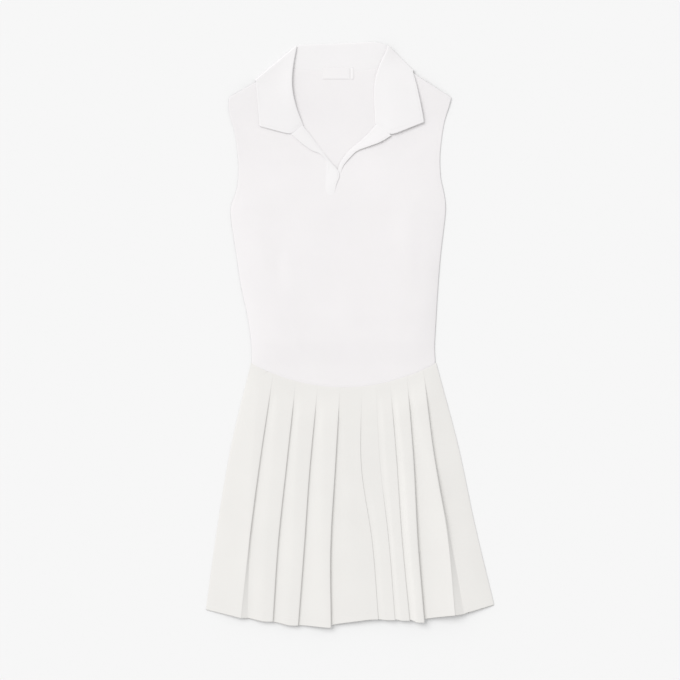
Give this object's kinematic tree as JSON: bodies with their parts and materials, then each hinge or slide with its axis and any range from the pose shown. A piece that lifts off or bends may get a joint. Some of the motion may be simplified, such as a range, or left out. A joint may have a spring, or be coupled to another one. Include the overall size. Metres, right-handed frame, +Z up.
{
  "type": "tennis dress",
  "caption": "Sleeveless knit tennis dress laid flat, with an open polo collar, a V placket and a dropped-waist knife-pleated skirt.",
  "frame": {"origin": "on the surface that the dress lies on, under the middle of its bounding box", "axes": "+X to the right seen from above, +Y from the hem to the collar, +Z up, from the back of the dress to its front"},
  "size_m": [0.447, 0.909, 0.0087],
  "materials": {
    "bodice_knit": "matt fine knit, faintly pink white",
    "pleat_weave": "matt fine weave, warm white",
    "collar_rib": "matt fine rib, white",
    "label_satin": "satin weave, white"
  },
  "bodies": {
    "root": {"back_bodice": "bodice_knit", "front_bodice": "bodice_knit", "back_skirt": "pleat_weave", "front_skirt": "pleat_weave", "collar": "collar_rib", "placket_over": "collar_rib", "placket_under": "collar_rib", "neck_label": "label_satin"}
  },
  "joints": []
}
